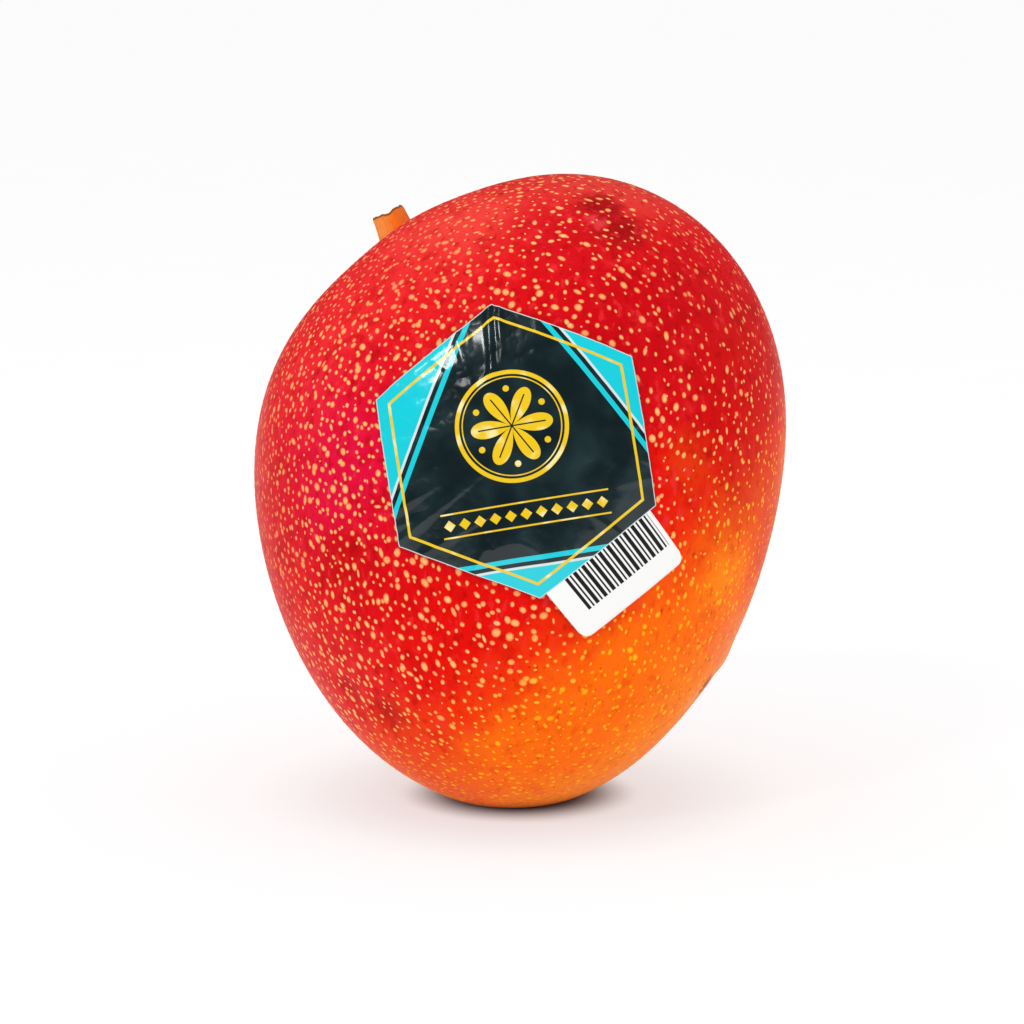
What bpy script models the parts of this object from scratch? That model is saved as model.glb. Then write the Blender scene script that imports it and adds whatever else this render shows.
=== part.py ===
"""A ripe mango standing on its rounded lower end, the stem stub at the upper left.

Metres, +Z up, +Y away from the viewer. The origin is in the middle of the small flat
spot on which the fruit rests, with three low points round it. The fruit is one solid:
its skin follows one formula, written below, of the direction seen from the middle of the
flesh. The stem stub sits in a shallow socket, and a die-cut sticker is wrapped over the
broad front cheek.
"""

import math

import bmesh
import bpy
import numpy as np
from mathutils import Matrix, Vector

# The fruit's own axes: "turn" runs clockwise from the stem as the broad cheek is seen,
# and "side" rises from the rim between the cheeks towards the front cheek.

# Half-width of the fruit's face outline, in mm, every 30 degrees of turn
FACE_OUTLINE_MM = {
    "stem end": 58.0,
    "near shoulder": 64.0,
    "high shoulder": 65.0,
    "back of the fruit": 58.5,
    "right flank": 52.5,
    "above the beak": 53.5,
    "beak end": 60.5,
    "lower end": 65.5,
    "heel": 61.0,
    "belly": 55.5,
    "left flank": 55.0,
    "left shoulder": 56.5,
}

# Half-thickness of the cheeks in mm, and how it varies
HALF_THICKNESS_MM = 47.5
THICKER_TO_STEM = 0.07
THICKER_TO_FRONT = 0.05
FULLNESS = 2.15

# Hollows and swellings: turn and side in degrees, height in mm, half-width in degrees
SWELLINGS = {
    "stem cavity": (-3.0, -7.0, -2.8, 8.0),
    "groove beside the stem": (8.0, -7.0, -2.2, 7.0),
    "far shoulder": (28.0, -14.0, 1.0, 14.0),
    "near rim of the cavity": (2.0, 14.0, 1.0, 12.0),
    "beak": (156.0, -8.0, 1.0, 6.0),
    "sinus under the beak": (170.0, -5.0, -2.2, 8.0),
    "heel": (205.0, -16.0, 2.0, 16.0),
    "pressed spot on the shoulder": (43.0, 40.0, -0.7, 3.6),
    "shallow dent low on the left": (244.0, 27.0, -0.6, 4.0),
    "second dent low on the left": (235.0, 32.0, -0.5, 3.6),
}

# How the fruit stands: the stem leans to the left and the top leans away
LEAN_LEFT = math.radians(25.0)
LEAN_BACK = math.radians(13.0)
MIDDLE = Vector((0.0006, 0.0021, 0.0642))
FLAT_BLEND = 0.0008

# The flat spot, the faint hollow round it, and the three low points that carry the weight
FLAT_RADIUS = 0.0040
HOLLOW_EDGE = 0.0015
HOLLOW_HEIGHT = 0.0003
LOW_POINT_REACH = 0.0095
LOW_POINT_ANGLES = (30.0, 150.0, 270.0)

# Fineness of the skin's mesh
SKIN_SEGMENTS = 84
SKIN_RINGS = 52

# Stem stub: where it grows out, which way it points, and its own shape
STEM_TURN, STEM_SIDE = -2.0, -7.0
STEM_AIM_TURN, STEM_AIM_SIDE = 8.0, -2.0
STEM_LENGTH = 0.0088
STEM_ROOT = 0.0025
STEM_TOP_RADIUS = 0.0033
STEM_FLARE = 0.0013
STEM_FLARE_HEIGHT = 0.005
STEM_LOBES_FROM = 0.003
STEM_STEP = 0.0009
STEM_STEP_STEEPNESS = 2.2
STEM_FALL = 0.0004
STEM_RAGGED = 0.0002
STEM_RAGGED_TEETH = 4
STEM_BEND = 0.0006
STEM_WORN_EDGE = 0.93
STEM_SEGMENTS = 28
STEM_CUTS = 9

# Lobes round the stem: how many, their share of the radius, and their start in radians
STEM_LOBES = ((3, 0.035, 0.6), (5, 0.03, 0.0))

# The pit that the stem stands in
SOCKET_ABOVE = 0.004
CLEARANCE = 0.0003

# Sticker: a hexagon of foil with a small tab on its lower right side
LABEL_SIDE = 0.0297
LABEL_TURN = math.radians(9.3)
LABEL_TILT = math.radians(15.0)
LABEL_OFFSET_X = -0.0012
LABEL_OFFSET_Z = 0.0028
LABEL_START = 0.08
LABEL_GAP = 0.00035
LABEL_THICKNESS = 0.0003
TAB_DEPTH = 0.0125
TAB_INSET = 0.0016
TAB_CORNER = 0.0020

# The sheet's grid, its shift off the corners, and the cheek's mean radius under it
LABEL_GRID = 0.0026
GRID_SHIFT = 0.37
CHEEK_CURVE = 0.078


def clear_scene():
    """Removes what the file holds, so that the script can be run again."""
    for obj in list(bpy.data.objects):
        bpy.data.objects.remove(obj, do_unlink=True)
    for collection in list(bpy.data.collections):
        bpy.data.collections.remove(collection)


def new_collection(name):
    collection = bpy.data.collections.new(name)
    bpy.context.scene.collection.children.link(collection)
    return collection


def linear(channel):
    """One sRGB channel of 0 to 255 as the linear value that a material takes."""
    c = channel / 255.0
    return c / 12.92 if c <= 0.04045 else ((c + 0.055) / 1.055) ** 2.4


def new_material(name, srgb, roughness, metallic=0.0):
    material = bpy.data.materials.new(name)
    material.use_nodes = True
    shader = material.node_tree.nodes["Principled BSDF"]
    colour = [linear(c) for c in srgb] + [1.0]
    shader.inputs["Base Color"].default_value = colour
    shader.inputs["Roughness"].default_value = roughness
    shader.inputs["Metallic"].default_value = metallic
    material.diffuse_color = colour
    return material


def new_object(name, bm, collection, material=None):
    """Turns a bmesh into an object of its own in the collection."""
    bmesh.ops.recalc_face_normals(bm, faces=bm.faces)
    mesh = bpy.data.meshes.new(name)
    bm.to_mesh(mesh)
    bm.free()
    obj = bpy.data.objects.new(name, mesh)
    collection.objects.link(obj)
    if material:
        mesh.materials.append(material)
    return obj


def around(samples, angle):
    """A smooth closed curve through evenly spaced samples, as a sum of sines."""
    count = len(samples)
    waves = np.fft.rfft(samples) / count
    total = np.full(np.shape(angle), waves[0].real)
    for k in range(1, len(waves)):
        share = 1.0 if 2 * k == count else 2.0
        total += share * (waves[k].real * np.cos(k * angle) - waves[k].imag * np.sin(k * angle))
    return total


def direction(turn, side):
    """The unit direction at these angles: X in the face, -Y to the front, Z to the stem."""
    t, s = math.radians(turn), math.radians(side)
    return np.array([math.sin(t) * math.cos(s), -math.sin(s), math.cos(t) * math.cos(s)])


def standing():
    """The rotation from the fruit's own axes to the way it stands."""
    lean_left = Matrix.Rotation(-LEAN_LEFT, 3, "Y")
    lean_back = Matrix.Rotation(-LEAN_BACK, 3, "X")
    return np.array(lean_back @ lean_left)


def skin(directions):
    """Points of the skin for unit directions in the fruit's own axes, one to a row.

    In the plane of the face the skin is as far out as the face outline. Towards a cheek
    it closes along a superellipse whose other half-axis is the half-thickness. Each
    swelling then moves it along the direction by a bell curve of the angle to its middle.
    Last, the fruit is stood up and pressed flat, softly, where it meets the floor, and
    round the flat spot it stays a little off the floor.
    """
    d = directions
    turn = np.arctan2(d[:, 0], d[:, 2])
    in_face = np.hypot(d[:, 0], d[:, 2])
    outline = around(list(FACE_OUTLINE_MM.values()), turn)
    thickness = HALF_THICKNESS_MM * (1 + THICKER_TO_STEM * d[:, 2] * in_face)
    thickness *= 1 - THICKER_TO_FRONT * d[:, 1]
    reach = (in_face**FULLNESS + np.abs(d[:, 1]) ** FULLNESS) ** (-1 / FULLNESS)
    points = np.stack([outline, thickness, outline], axis=1) * reach[:, None] * d
    for at_turn, at_side, height, width in SWELLINGS.values():
        away = np.arccos(np.clip(d @ direction(at_turn, at_side), -1, 1))
        bell = np.exp(-((away / math.radians(width)) ** 2))
        points += d * (height * bell)[:, None]
    points = points * 0.001 @ standing().T + np.array(MIDDLE)
    z = points[:, 2]
    pressed = np.where(z > FLAT_BLEND, z, (z + FLAT_BLEND) ** 2 / (4 * FLAT_BLEND))
    pressed = np.where(z < -FLAT_BLEND, 0, pressed)
    out = np.hypot(points[:, 0], points[:, 1])
    hollow = HOLLOW_HEIGHT * np.clip((out - FLAT_RADIUS) / HOLLOW_EDGE, 0, 1)
    points[:, 2] = np.maximum(pressed, hollow)
    return points


def press_low_points(bm):
    """Sets the skin's vertices nearest to the three low points down on the floor."""
    for angle in LOW_POINT_ANGLES:
        at = Matrix.Rotation(math.radians(angle), 3, "Z") @ Vector((LOW_POINT_REACH, 0, 0))
        nearest = min(bm.verts, key=lambda v: (v.co - at).length)
        nearest.co.z = 0.0


def build_fruit(collection, socket):
    """The whole fruit: a sphere with one pole where the stem is, moved out to the skin."""
    bm = bmesh.new()
    bmesh.ops.create_uvsphere(
        bm, u_segments=SKIN_SEGMENTS, v_segments=SKIN_RINGS, radius=1.0
    )
    to_stem = Vector((0, 0, 1)).rotation_difference(Vector(direction(STEM_TURN, STEM_SIDE)))
    directions = np.array([to_stem @ v.co.normalized() for v in bm.verts])
    for vertex, point in zip(bm.verts, skin(directions)):
        vertex.co = point
    press_low_points(bm)
    skin_finish = new_material("fruit_skin", (228, 42, 22), 0.36)
    fruit = new_object("fruit", bm, collection, skin_finish)
    fruit.data.shade_smooth()
    cut = fruit.modifiers.new("stem socket", "BOOLEAN")
    cut.operation = "DIFFERENCE"
    cut.solver = "EXACT"
    cut.object = socket
    return fruit


def stem_place():
    """Where the stem grows out, with local Z along it and local X to the right."""
    at = Vector(skin(direction(STEM_TURN, STEM_SIDE)[None])[0])
    along = Vector(standing() @ direction(STEM_AIM_TURN, STEM_AIM_SIDE)).normalized()
    back = along.cross(Vector((1, 0, 0))).normalized()
    right = back.cross(along)
    turn = Matrix((right, back, along)).transposed().to_4x4()
    return Matrix.Translation(at) @ turn


def build_stem(collection):
    """A woody stub: a cylinder flared at its foot, lobed, bent, and broken off on a slant."""
    bm = bmesh.new()
    bmesh.ops.create_cone(
        bm,
        cap_ends=True,
        cap_tris=True,
        segments=STEM_SEGMENTS,
        radius1=1.0,
        radius2=1.0,
        depth=1.0,
    )
    upright = [e for e in bm.edges if abs(e.verts[0].co.z - e.verts[1].co.z) > 0.5]
    bmesh.ops.subdivide_edges(bm, edges=upright, cuts=STEM_CUTS, use_grid_fill=True)
    for vertex in bm.verts:
        x, y, share = vertex.co.x, vertex.co.y, vertex.co.z + 0.5
        turn = math.atan2(y, x)
        out = math.hypot(x, y)
        # The break is higher on the right, drops past a step, and is ragged at the edge
        slant = STEM_STEP * math.tanh(STEM_STEP_STEEPNESS * x) - STEM_FALL * y
        slant += STEM_RAGGED * out * math.cos(STEM_RAGGED_TEETH * turn)
        z = -STEM_ROOT + share * (STEM_ROOT + STEM_LENGTH + slant)
        radius = STEM_TOP_RADIUS + STEM_FLARE * math.exp(-max(z, 0.0) / STEM_FLARE_HEIGHT)
        # The root stays round to fit its pit, and the lobes come in above it
        above = min(max(z / STEM_LOBES_FROM, 0.0), 1.0)
        lobes = [tall * math.cos(count * turn + start) for count, tall, start in STEM_LOBES]
        radius *= 1 + above * sum(lobes)
        if share > 0.999:
            radius *= STEM_WORN_EDGE
        bend = -STEM_BEND * above * (z / STEM_LENGTH) ** 2
        vertex.co = (radius * x + bend, radius * y, z)
    wood = new_material("stem_wood", (190, 108, 34), 0.75)
    stem = new_object("stem", bm, collection, wood)
    stem.data.shade_smooth()
    stem.data.set_sharp_from_angle(angle=math.radians(40))
    stem.matrix_world = stem_place()
    return stem


def build_socket(cutters):
    """The cutter for the pit that holds the stem's root, a clearance wider all round."""
    deep = STEM_ROOT + CLEARANCE
    high = SOCKET_ABOVE
    radius = STEM_TOP_RADIUS + STEM_FLARE + CLEARANCE
    bm = bmesh.new()
    bmesh.ops.create_cone(
        bm,
        cap_ends=True,
        segments=STEM_SEGMENTS,
        radius1=radius,
        radius2=radius,
        depth=deep + high,
        matrix=Matrix.Translation((0, 0, (high - deep) / 2)),
    )
    socket = new_object("stem_socket_cutter", bm, cutters)
    socket.matrix_world = stem_place()
    socket.hide_render = True
    socket.display_type = "WIRE"
    return socket


def add_tab(bm, tab_angle):
    """Grows the tab out of the hexagon's side that faces this angle; returns its outer corners."""
    out = Vector((math.cos(tab_angle), math.sin(tab_angle), 0))
    root = max(bm.edges, key=lambda e: (e.verts[0].co + e.verts[1].co).dot(out))
    for end in tuple(root.verts):
        _, split = bmesh.utils.edge_split(root, end, TAB_INSET / root.calc_length())
        root = max(split.link_edges, key=lambda e: e.calc_length())
    grown = bmesh.ops.extrude_edge_only(bm, edges=[root])["geom"]
    corners = [g for g in grown if isinstance(g, bmesh.types.BMVert)]
    for corner in corners:
        corner.co += out * TAB_DEPTH
    return corners


def divide(bm):
    """Cuts the flat sheet along a square grid, so that it can follow a curve."""
    steps = int((LABEL_SIDE + TAB_DEPTH) / LABEL_GRID) + 1
    for axis in (Vector((1, 0, 0)), Vector((0, 1, 0))):
        for step in range(-steps, steps + 1):
            whole = bm.verts[:] + bm.edges[:] + bm.faces[:]
            at = axis * (step + GRID_SHIFT) * LABEL_GRID
            bmesh.ops.bisect_plane(bm, geom=whole, dist=1e-5, plane_co=at, plane_no=axis)
    bmesh.ops.remove_doubles(bm, verts=bm.verts, dist=0.0001)
    bmesh.ops.triangulate(bm, faces=bm.faces)


def build_label(collection, fruit):
    """A flat die-cut sheet, divided finely, bent over the cheek and given its thickness."""
    bm = bmesh.new()
    bmesh.ops.create_circle(bm, cap_ends=True, segments=6, radius=LABEL_SIDE)
    bmesh.ops.rotate(bm, verts=bm.verts, matrix=Matrix.Rotation(LABEL_TURN, 3, "Z"))
    corners = add_tab(bm, LABEL_TURN + math.radians(-60))
    bmesh.ops.bevel(
        bm, geom=corners, offset=TAB_CORNER, segments=3, profile=0.5, affect="VERTICES"
    )
    divide(bm)
    for vertex in bm.verts:
        # Bent over a dome, a sheet covers less of the plan than it does when flat
        out = max(vertex.co.length, 1e-9)
        vertex.co *= CHEEK_CURVE * math.sin(out / CHEEK_CURVE) / out
    foil = new_material("label_foil", (16, 52, 58), 0.22, 0.6)
    label = new_object("label", bm, collection, foil)
    if label.data.polygons[0].normal.z < 0:
        label.data.flip_normals()
    label.matrix_world = (
        Matrix.Translation(MIDDLE)
        @ Matrix.Translation((LABEL_OFFSET_X, 0, LABEL_OFFSET_Z))
        @ Matrix.Rotation(math.pi / 2 - LABEL_TILT, 4, "X")
        @ Matrix.Translation((0, 0, LABEL_START))
    )
    wrap = label.modifiers.new("wrap", "SHRINKWRAP")
    wrap.target = fruit
    wrap.wrap_method = "PROJECT"
    wrap.use_project_z = True
    wrap.use_negative_direction = True
    wrap.use_positive_direction = False
    wrap.offset = LABEL_GAP
    sheet = label.modifiers.new("sheet", "SOLIDIFY")
    sheet.thickness = LABEL_THICKNESS
    sheet.offset = 1.0
    label.data.shade_smooth()
    return label


def build():
    clear_scene()
    parts = new_collection("mango")
    cutters = new_collection("mango_cutters")
    socket = build_socket(cutters)
    fruit = build_fruit(parts, socket)
    build_stem(parts)
    build_label(parts, fruit)


build()
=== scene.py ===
# %% [markdown]
# # A ripe mango with its sticker
# The solid model from the CAD step is the frame here: it says where everything is and how
# big it is. This lesson dresses it. Every solid is replaced by a finer surface of the same
# form, and every surface gets a finish made of shader nodes only, so no picture is needed.

# %% Bring in the frame and measure it
import math

import bpy
import numpy as np
from mathutils import Matrix, Vector


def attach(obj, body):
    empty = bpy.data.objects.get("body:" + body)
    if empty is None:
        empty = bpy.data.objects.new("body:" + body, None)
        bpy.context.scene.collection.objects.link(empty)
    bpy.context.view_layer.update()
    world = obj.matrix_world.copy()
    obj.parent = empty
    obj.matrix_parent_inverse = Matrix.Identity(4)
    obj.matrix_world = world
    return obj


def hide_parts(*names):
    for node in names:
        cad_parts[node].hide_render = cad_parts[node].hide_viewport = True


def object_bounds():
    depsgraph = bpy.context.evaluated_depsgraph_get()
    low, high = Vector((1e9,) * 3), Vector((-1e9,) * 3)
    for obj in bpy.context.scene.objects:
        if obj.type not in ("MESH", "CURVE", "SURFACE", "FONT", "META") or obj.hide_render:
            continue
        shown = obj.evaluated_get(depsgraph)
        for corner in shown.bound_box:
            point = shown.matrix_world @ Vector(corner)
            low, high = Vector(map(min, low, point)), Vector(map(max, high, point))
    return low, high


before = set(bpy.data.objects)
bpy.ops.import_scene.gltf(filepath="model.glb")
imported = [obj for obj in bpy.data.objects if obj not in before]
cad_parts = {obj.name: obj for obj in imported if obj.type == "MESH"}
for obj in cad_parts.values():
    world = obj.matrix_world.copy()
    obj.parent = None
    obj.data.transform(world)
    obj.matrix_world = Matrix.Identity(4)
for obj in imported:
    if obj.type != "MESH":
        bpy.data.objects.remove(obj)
cad_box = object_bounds()
print("nodes:", sorted(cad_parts))
print("box of the solids:", cad_box)

# %% [markdown]
# ## The camera
# The fruit was seen from a little above, through a long lens, so that its outline hardly
# changes with distance. A camera far away with a long lens gives the same look. The lens is
# worked out from how many pixels a millimetre takes in the picture, and the small shift only
# frames the fruit.

# %% Place the camera
MIDDLE = np.array([0.0006, 0.0021, 0.0642])
PICTURE_SIDE = 1024
PIXELS_PER_MM = 4.87
CAMERA_DISTANCE = 0.8
CAMERA_RISE = math.radians(10.0)
CENTRE_PIXEL = (522.0, 486.0)

camera_data = bpy.data.cameras.new("camera")
camera = bpy.data.objects.new("camera", camera_data)
bpy.context.scene.collection.objects.link(camera)
bpy.context.scene.camera = camera
camera_data.sensor_width = 36.0
camera_data.lens = PIXELS_PER_MM * CAMERA_DISTANCE * 1000 * camera_data.sensor_width / PICTURE_SIDE
camera_data.shift_x = (PICTURE_SIDE / 2 - CENTRE_PIXEL[0]) / PICTURE_SIDE
camera_data.shift_y = (CENTRE_PIXEL[1] - PICTURE_SIDE / 2) / PICTURE_SIDE
away = Vector((0.0, -math.cos(CAMERA_RISE), math.sin(CAMERA_RISE)))
camera.location = Vector(MIDDLE) + away * CAMERA_DISTANCE
camera.rotation_euler = away.to_track_quat("Z", "Y").to_euler()
print("lens in mm:", round(camera_data.lens, 1))

# %% [markdown]
# ## The form of the fruit
# A mango is a flattened egg with character: shoulders beside the stem, a beak near the other
# end, and broad cheeks. It could be sculpted or lathed, but it isn't round. Here it is one
# formula of direction: stand in the middle of the flesh, look any way, and the formula says
# how far out the skin is. The same formula made the solid, so both agree.

# %% Values of the form, as in the solid
FACE_OUTLINE_MM = {
    "stem end": 58.0,
    "near shoulder": 64.0,
    "high shoulder": 65.0,
    "back of the fruit": 58.5,
    "right flank": 52.5,
    "above the beak": 53.5,
    "beak end": 60.5,
    "lower end": 65.5,
    "heel": 61.0,
    "belly": 55.5,
    "left flank": 55.0,
    "left shoulder": 56.5,
}
HALF_THICKNESS_MM = 47.5
THICKER_TO_STEM = 0.07
THICKER_TO_FRONT = 0.05
FULLNESS = 2.15
SWELLINGS = {
    "stem cavity": (-3.0, -7.0, -2.8, 8.0),
    "groove beside the stem": (8.0, -7.0, -2.2, 7.0),
    "far shoulder": (28.0, -14.0, 1.0, 14.0),
    "near rim of the cavity": (2.0, 14.0, 1.0, 12.0),
    "beak": (156.0, -8.0, 1.0, 6.0),
    "sinus under the beak": (170.0, -5.0, -2.2, 8.0),
    "heel": (205.0, -16.0, 2.0, 16.0),
    "pressed spot on the shoulder": (43.0, 40.0, -0.7, 3.6),
    "shallow dent low on the left": (244.0, 27.0, -0.6, 4.0),
    "second dent low on the left": (235.0, 32.0, -0.5, 3.6),
}
LEAN_LEFT = math.radians(25.0)
LEAN_BACK = math.radians(13.0)
FLAT_BLEND = 0.0008
FLAT_RADIUS = 0.0040
HOLLOW_EDGE = 0.0015
HOLLOW_HEIGHT = 0.0003
print("swellings and hollows:", len(SWELLINGS))


# %% The skin as a function of direction
def around(samples, angle):
    """A smooth closed curve through evenly spaced samples, as a sum of sines."""
    count = len(samples)
    waves = np.fft.rfft(samples) / count
    total = np.full(np.shape(angle), waves[0].real)
    for k in range(1, len(waves)):
        share = 1.0 if 2 * k == count else 2.0
        total += share * (waves[k].real * np.cos(k * angle) - waves[k].imag * np.sin(k * angle))
    return total


def direction(turn, side):
    """The unit direction at these angles: X in the face, -Y to the front, Z to the stem."""
    t, s = math.radians(turn), math.radians(side)
    return np.array([math.sin(t) * math.cos(s), -math.sin(s), math.cos(t) * math.cos(s)])


lean_left = Matrix.Rotation(-LEAN_LEFT, 3, "Y")
lean_back = Matrix.Rotation(-LEAN_BACK, 3, "X")
STANDING = np.array(lean_back @ lean_left)


def skin(d):
    """Points of the skin for unit directions in the fruit's own axes, one to a row.

    Outline in the plane of the face, times the superellipse that closes it towards the
    cheeks, plus a bell of height and width for each swelling; then stood up, and pressed
    flat, softly, where it meets the floor, with a faint hollow round the flat spot.
    """
    turn = np.arctan2(d[:, 0], d[:, 2])
    in_face = np.hypot(d[:, 0], d[:, 2])
    outline = around(list(FACE_OUTLINE_MM.values()), turn)
    thickness = HALF_THICKNESS_MM * (1 + THICKER_TO_STEM * d[:, 2] * in_face)
    thickness *= 1 - THICKER_TO_FRONT * d[:, 1]
    reach = (in_face**FULLNESS + np.abs(d[:, 1]) ** FULLNESS) ** (-1 / FULLNESS)
    points = np.stack([outline, thickness, outline], axis=1) * reach[:, None] * d
    for at_turn, at_side, height, width in SWELLINGS.values():
        apart = np.arccos(np.clip(d @ direction(at_turn, at_side), -1, 1))
        points += d * (height * np.exp(-((apart / math.radians(width)) ** 2)))[:, None]
    points = points * 0.001 @ STANDING.T + MIDDLE
    z = points[:, 2]
    pressed = np.where(z > FLAT_BLEND, z, (z + FLAT_BLEND) ** 2 / (4 * FLAT_BLEND))
    pressed = np.where(z < -FLAT_BLEND, 0, pressed)
    out = np.hypot(points[:, 0], points[:, 1])
    hollow = HOLLOW_HEIGHT * np.clip((out - FLAT_RADIUS) / HOLLOW_EDGE, 0, 1)
    points[:, 2] = np.maximum(pressed, hollow)
    return points


print("skin towards the front:", skin(direction(0, 90)[None]).round(4)[0])

# %% [markdown]
# ## From a formula to a mesh
# A grid of directions, like lines of latitude and longitude, turns the formula into a mesh.
# Its two poles are where such a grid pinches. One of them is put under the stem, where
# nobody sees it, and the other lands low on the far side.


# %% A closed mesh from a grid
def new_mesh(name, points, *faces):
    """A smooth-shaded mesh of these points and these arrays of faces."""
    mesh = bpy.data.meshes.new(name)
    mesh.from_pydata(points.tolist(), [], [face for part in faces for face in part.tolist()])
    mesh.shade_smooth()
    return mesh


def closed_grid(name, grid, first_pole, last_pole):
    """A mesh of quads from a grid of points, rows by columns, by its row and column.

    Each row closes round on itself, and a fan of triangles closes each end to its pole.
    """
    rows, columns = grid.shape[:2]
    index = np.arange(rows * columns).reshape(rows, columns)
    beside = np.roll(index, -1, axis=1)
    quads = np.stack([index[:-1], index[1:], beside[1:], beside[:-1]], axis=-1).reshape(-1, 4)
    start = np.full(columns, rows * columns)
    first_fan = np.stack([start, index[0], beside[0]], axis=1)
    last_fan = np.stack([start + 1, beside[-1], index[-1]], axis=1)
    points = np.concatenate([grid.reshape(-1, 3), [first_pole], [last_pole]])
    return new_mesh(name, points, quads, first_fan, last_fan)


def volume(mesh):
    """Signed volume in cubic centimetres: a sixth of each triangle's triple product."""
    mesh.calc_loop_triangles()
    corners = np.array([t.vertices for t in mesh.loop_triangles])
    points = np.empty(len(mesh.vertices) * 3)
    mesh.vertices.foreach_get("co", points)
    a, b, c = points.reshape(-1, 3)[corners].transpose(1, 0, 2)
    return float((np.cross(a, b) * c).sum() / 6 * 1e6)


def add_map(mesh, name, values):
    """A map on the mesh with these two values for each of its points."""
    corners = np.empty(len(mesh.loops), int)
    mesh.loops.foreach_get("vertex_index", corners)
    mesh.uv_layers.new(name=name).uv.foreach_set("vector", values[corners].ravel())


def new_piece(name, mesh, node):
    """An object for the mesh that takes the place of a solid and rides on the body."""
    piece = bpy.data.objects.new(name, mesh)
    bpy.context.scene.collection.objects.link(piece)
    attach(piece, "root")
    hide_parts(node)
    return piece


# %% Build the skin
SKIN_ROUND = 372
SKIN_DOWN = 252
STEM_TURN, STEM_SIDE = -2.0, -7.0


def ball(rows, columns, pole):
    """Unit directions in rows from the pole to its opposite, both poles left out."""
    down = (np.arange(rows) + 1) / (rows + 1) * math.pi
    round_ = np.arange(columns) / columns * 2 * math.pi
    down, round_ = np.meshgrid(down, round_, indexing="ij")
    parts = [np.sin(down) * np.cos(round_), np.sin(down) * np.sin(round_), np.cos(down)]
    turn = Vector((0, 0, 1)).rotation_difference(Vector(pole)).to_matrix()
    return np.stack(parts, axis=-1) @ np.array(turn).T


stem_direction = direction(STEM_TURN, STEM_SIDE)
grid = ball(SKIN_DOWN, SKIN_ROUND, stem_direction)
box_low, box_high = np.array(cad_box[0]), np.array(cad_box[1])
skin_grid = np.clip(skin(grid.reshape(-1, 3)), box_low, box_high).reshape(grid.shape)
poles = skin(np.array([stem_direction, -stem_direction]))
skin_mesh = closed_grid("mango_skin", skin_grid, *poles)
mango_skin = new_piece("mango_skin", skin_mesh, "fruit")
print("skin:", len(skin_mesh.polygons), "faces,", round(volume(skin_mesh)), "cubic cm")

# %% [markdown]
# ## Words for shader nodes
# A finish is a tree of nodes. A few short helpers keep the recipes readable: add a node, give
# a socket a value or a link, do a sum, fade between two values, mix two colours. Every socket
# knows the tree it sits in, so a helper works in the tree that its values come from.


# %% Helpers for node trees
def paint(red, green, blue):
    """A colour of 0 to 255 a channel, as it looks on screen, in the linear light of nodes."""
    channels = np.array([red, green, blue]) / 255
    low = channels / 12.92
    high = ((channels + 0.055) / 1.055) ** 2.4
    return (*np.where(channels <= 0.04045, low, high).tolist(), 1.0)


def add_node(tree, kind, **settings):
    """A new node of this kind, with its settings by name."""
    node = tree.nodes.new("ShaderNode" + kind)
    for name, value in settings.items():
        setattr(node, name, value)
    return node


def feed(socket, value):
    """Gives a socket a plain value, or a link if the value is another node's output."""
    if isinstance(value, bpy.types.NodeSocket):
        socket.id_data.links.new(value, socket)
    else:
        socket.default_value = value


def feed_all(sockets, values):
    """Gives each socket its value or its link, by the socket's name or number."""
    for name, value in values.items():
        feed(sockets[name], value)


def fed_node(kind, values, **settings):
    """A new node, fed with these values, in the tree that the first linked one comes from."""
    linked = [value for value in values.values() if isinstance(value, bpy.types.NodeSocket)]
    node = add_node(linked[0].id_data, kind, **settings)
    feed_all(node.inputs, values)
    return node


def calc(operation, *values, clamp=False):
    """One sum on numbers, at least one of which comes from another node."""
    values = dict(enumerate(values))
    return fed_node("Math", values, operation=operation, use_clamp=clamp).outputs[0]


def vector(operation, *values, scale=None):
    """One sum on vectors; a length, distance or dot product comes out as a number."""
    values = dict(enumerate(values))
    if scale is not None:
        values["Scale"] = scale
    node = fed_node("VectorMath", values, operation=operation)
    single = operation in {"DOT_PRODUCT", "LENGTH", "DISTANCE"}
    return node.outputs["Value" if single else "Vector"]


def fade(value, start, end):
    """0 at the start value and 1 at the end value, with a smooth step in between."""
    values = {"Value": value, "From Min": start, "From Max": end}
    return fed_node("MapRange", values, interpolation_type="SMOOTHSTEP").outputs["Result"]


def mix(share, first, second, how="MIX"):
    """The first colour turned into the second by this share."""
    values = {0: share, 6: first, 7: second}
    return fed_node("Mix", values, data_type="RGBA", blend_type=how).outputs[2]


def wash_over(share, strength, first, second):
    """The first colour turned into the second by this share times a strength."""
    return mix(calc("MULTIPLY", share, strength), first, second)


def split(place):
    """The X, Y and Z outputs of a vector."""
    return fed_node("SeparateXYZ", {0: place}).outputs


def noise(place, scale, detail=2.0, roughness=0.5):
    """Smooth noise of about 0 to 1 whose features are 1 / scale wide, in the place's units."""
    values = {"Vector": place, "Scale": scale, "Detail": detail, "Roughness": roughness}
    return fed_node("TexNoise", values).outputs["Fac"]


def cloud(place, scale, detail=2.0):
    """Noise as a vector, centred on zero, to push a pattern about."""
    node = fed_node("TexNoise", {"Vector": place, "Scale": scale, "Detail": detail})
    return vector("SUBTRACT", node.outputs["Color"], (0.5, 0.5, 0.5))


# %% Helpers for node groups and materials
def new_group(name, takes, gives):
    """An empty node group with named sockets, and its input and output nodes."""
    tree = bpy.data.node_groups.new(name, "ShaderNodeTree")
    for socket, kind in takes.items():
        tree.interface.new_socket(socket, in_out="INPUT", socket_type="NodeSocket" + kind)
    for socket, kind in gives.items():
        tree.interface.new_socket(socket, in_out="OUTPUT", socket_type="NodeSocket" + kind)
    return tree, tree.nodes.new("NodeGroupInput").outputs, tree.nodes.new("NodeGroupOutput").inputs


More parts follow.
